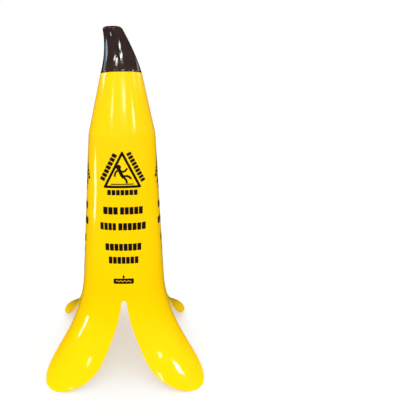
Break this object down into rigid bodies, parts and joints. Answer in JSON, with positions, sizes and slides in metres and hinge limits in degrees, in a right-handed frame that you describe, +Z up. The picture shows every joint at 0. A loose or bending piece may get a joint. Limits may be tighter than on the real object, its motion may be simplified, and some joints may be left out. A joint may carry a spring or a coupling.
{
  "type": "wet floor sign",
  "caption": "Free-standing hollow warning cone shaped like a peeled banana, with a bent stem and feet that flare out from its corners.",
  "frame": {"origin": "on the floor, in the middle of the four feet, which is the centre of the bounding box's bottom", "axes": "+Z up along the cone, -Y the front side, and the stem bends towards -X"},
  "size_m": [0.3, 0.3, 0.6134],
  "materials": {
    "yellow_plastic": "glossy moulded yellow polypropylene",
    "brown_plastic": "glossy dark brown moulded plastic",
    "black_ink": "thin screen-printed black ink, slightly less glossy than the plastic"
  },
  "bodies": {
    "root": {"peel_body": "yellow_plastic", "stem": "brown_plastic", "warning_triangle_front": "black_ink", "warning_triangle_right": "black_ink", "warning_triangle_back": "black_ink", "warning_triangle_left": "black_ink"}
  },
  "joints": []
}
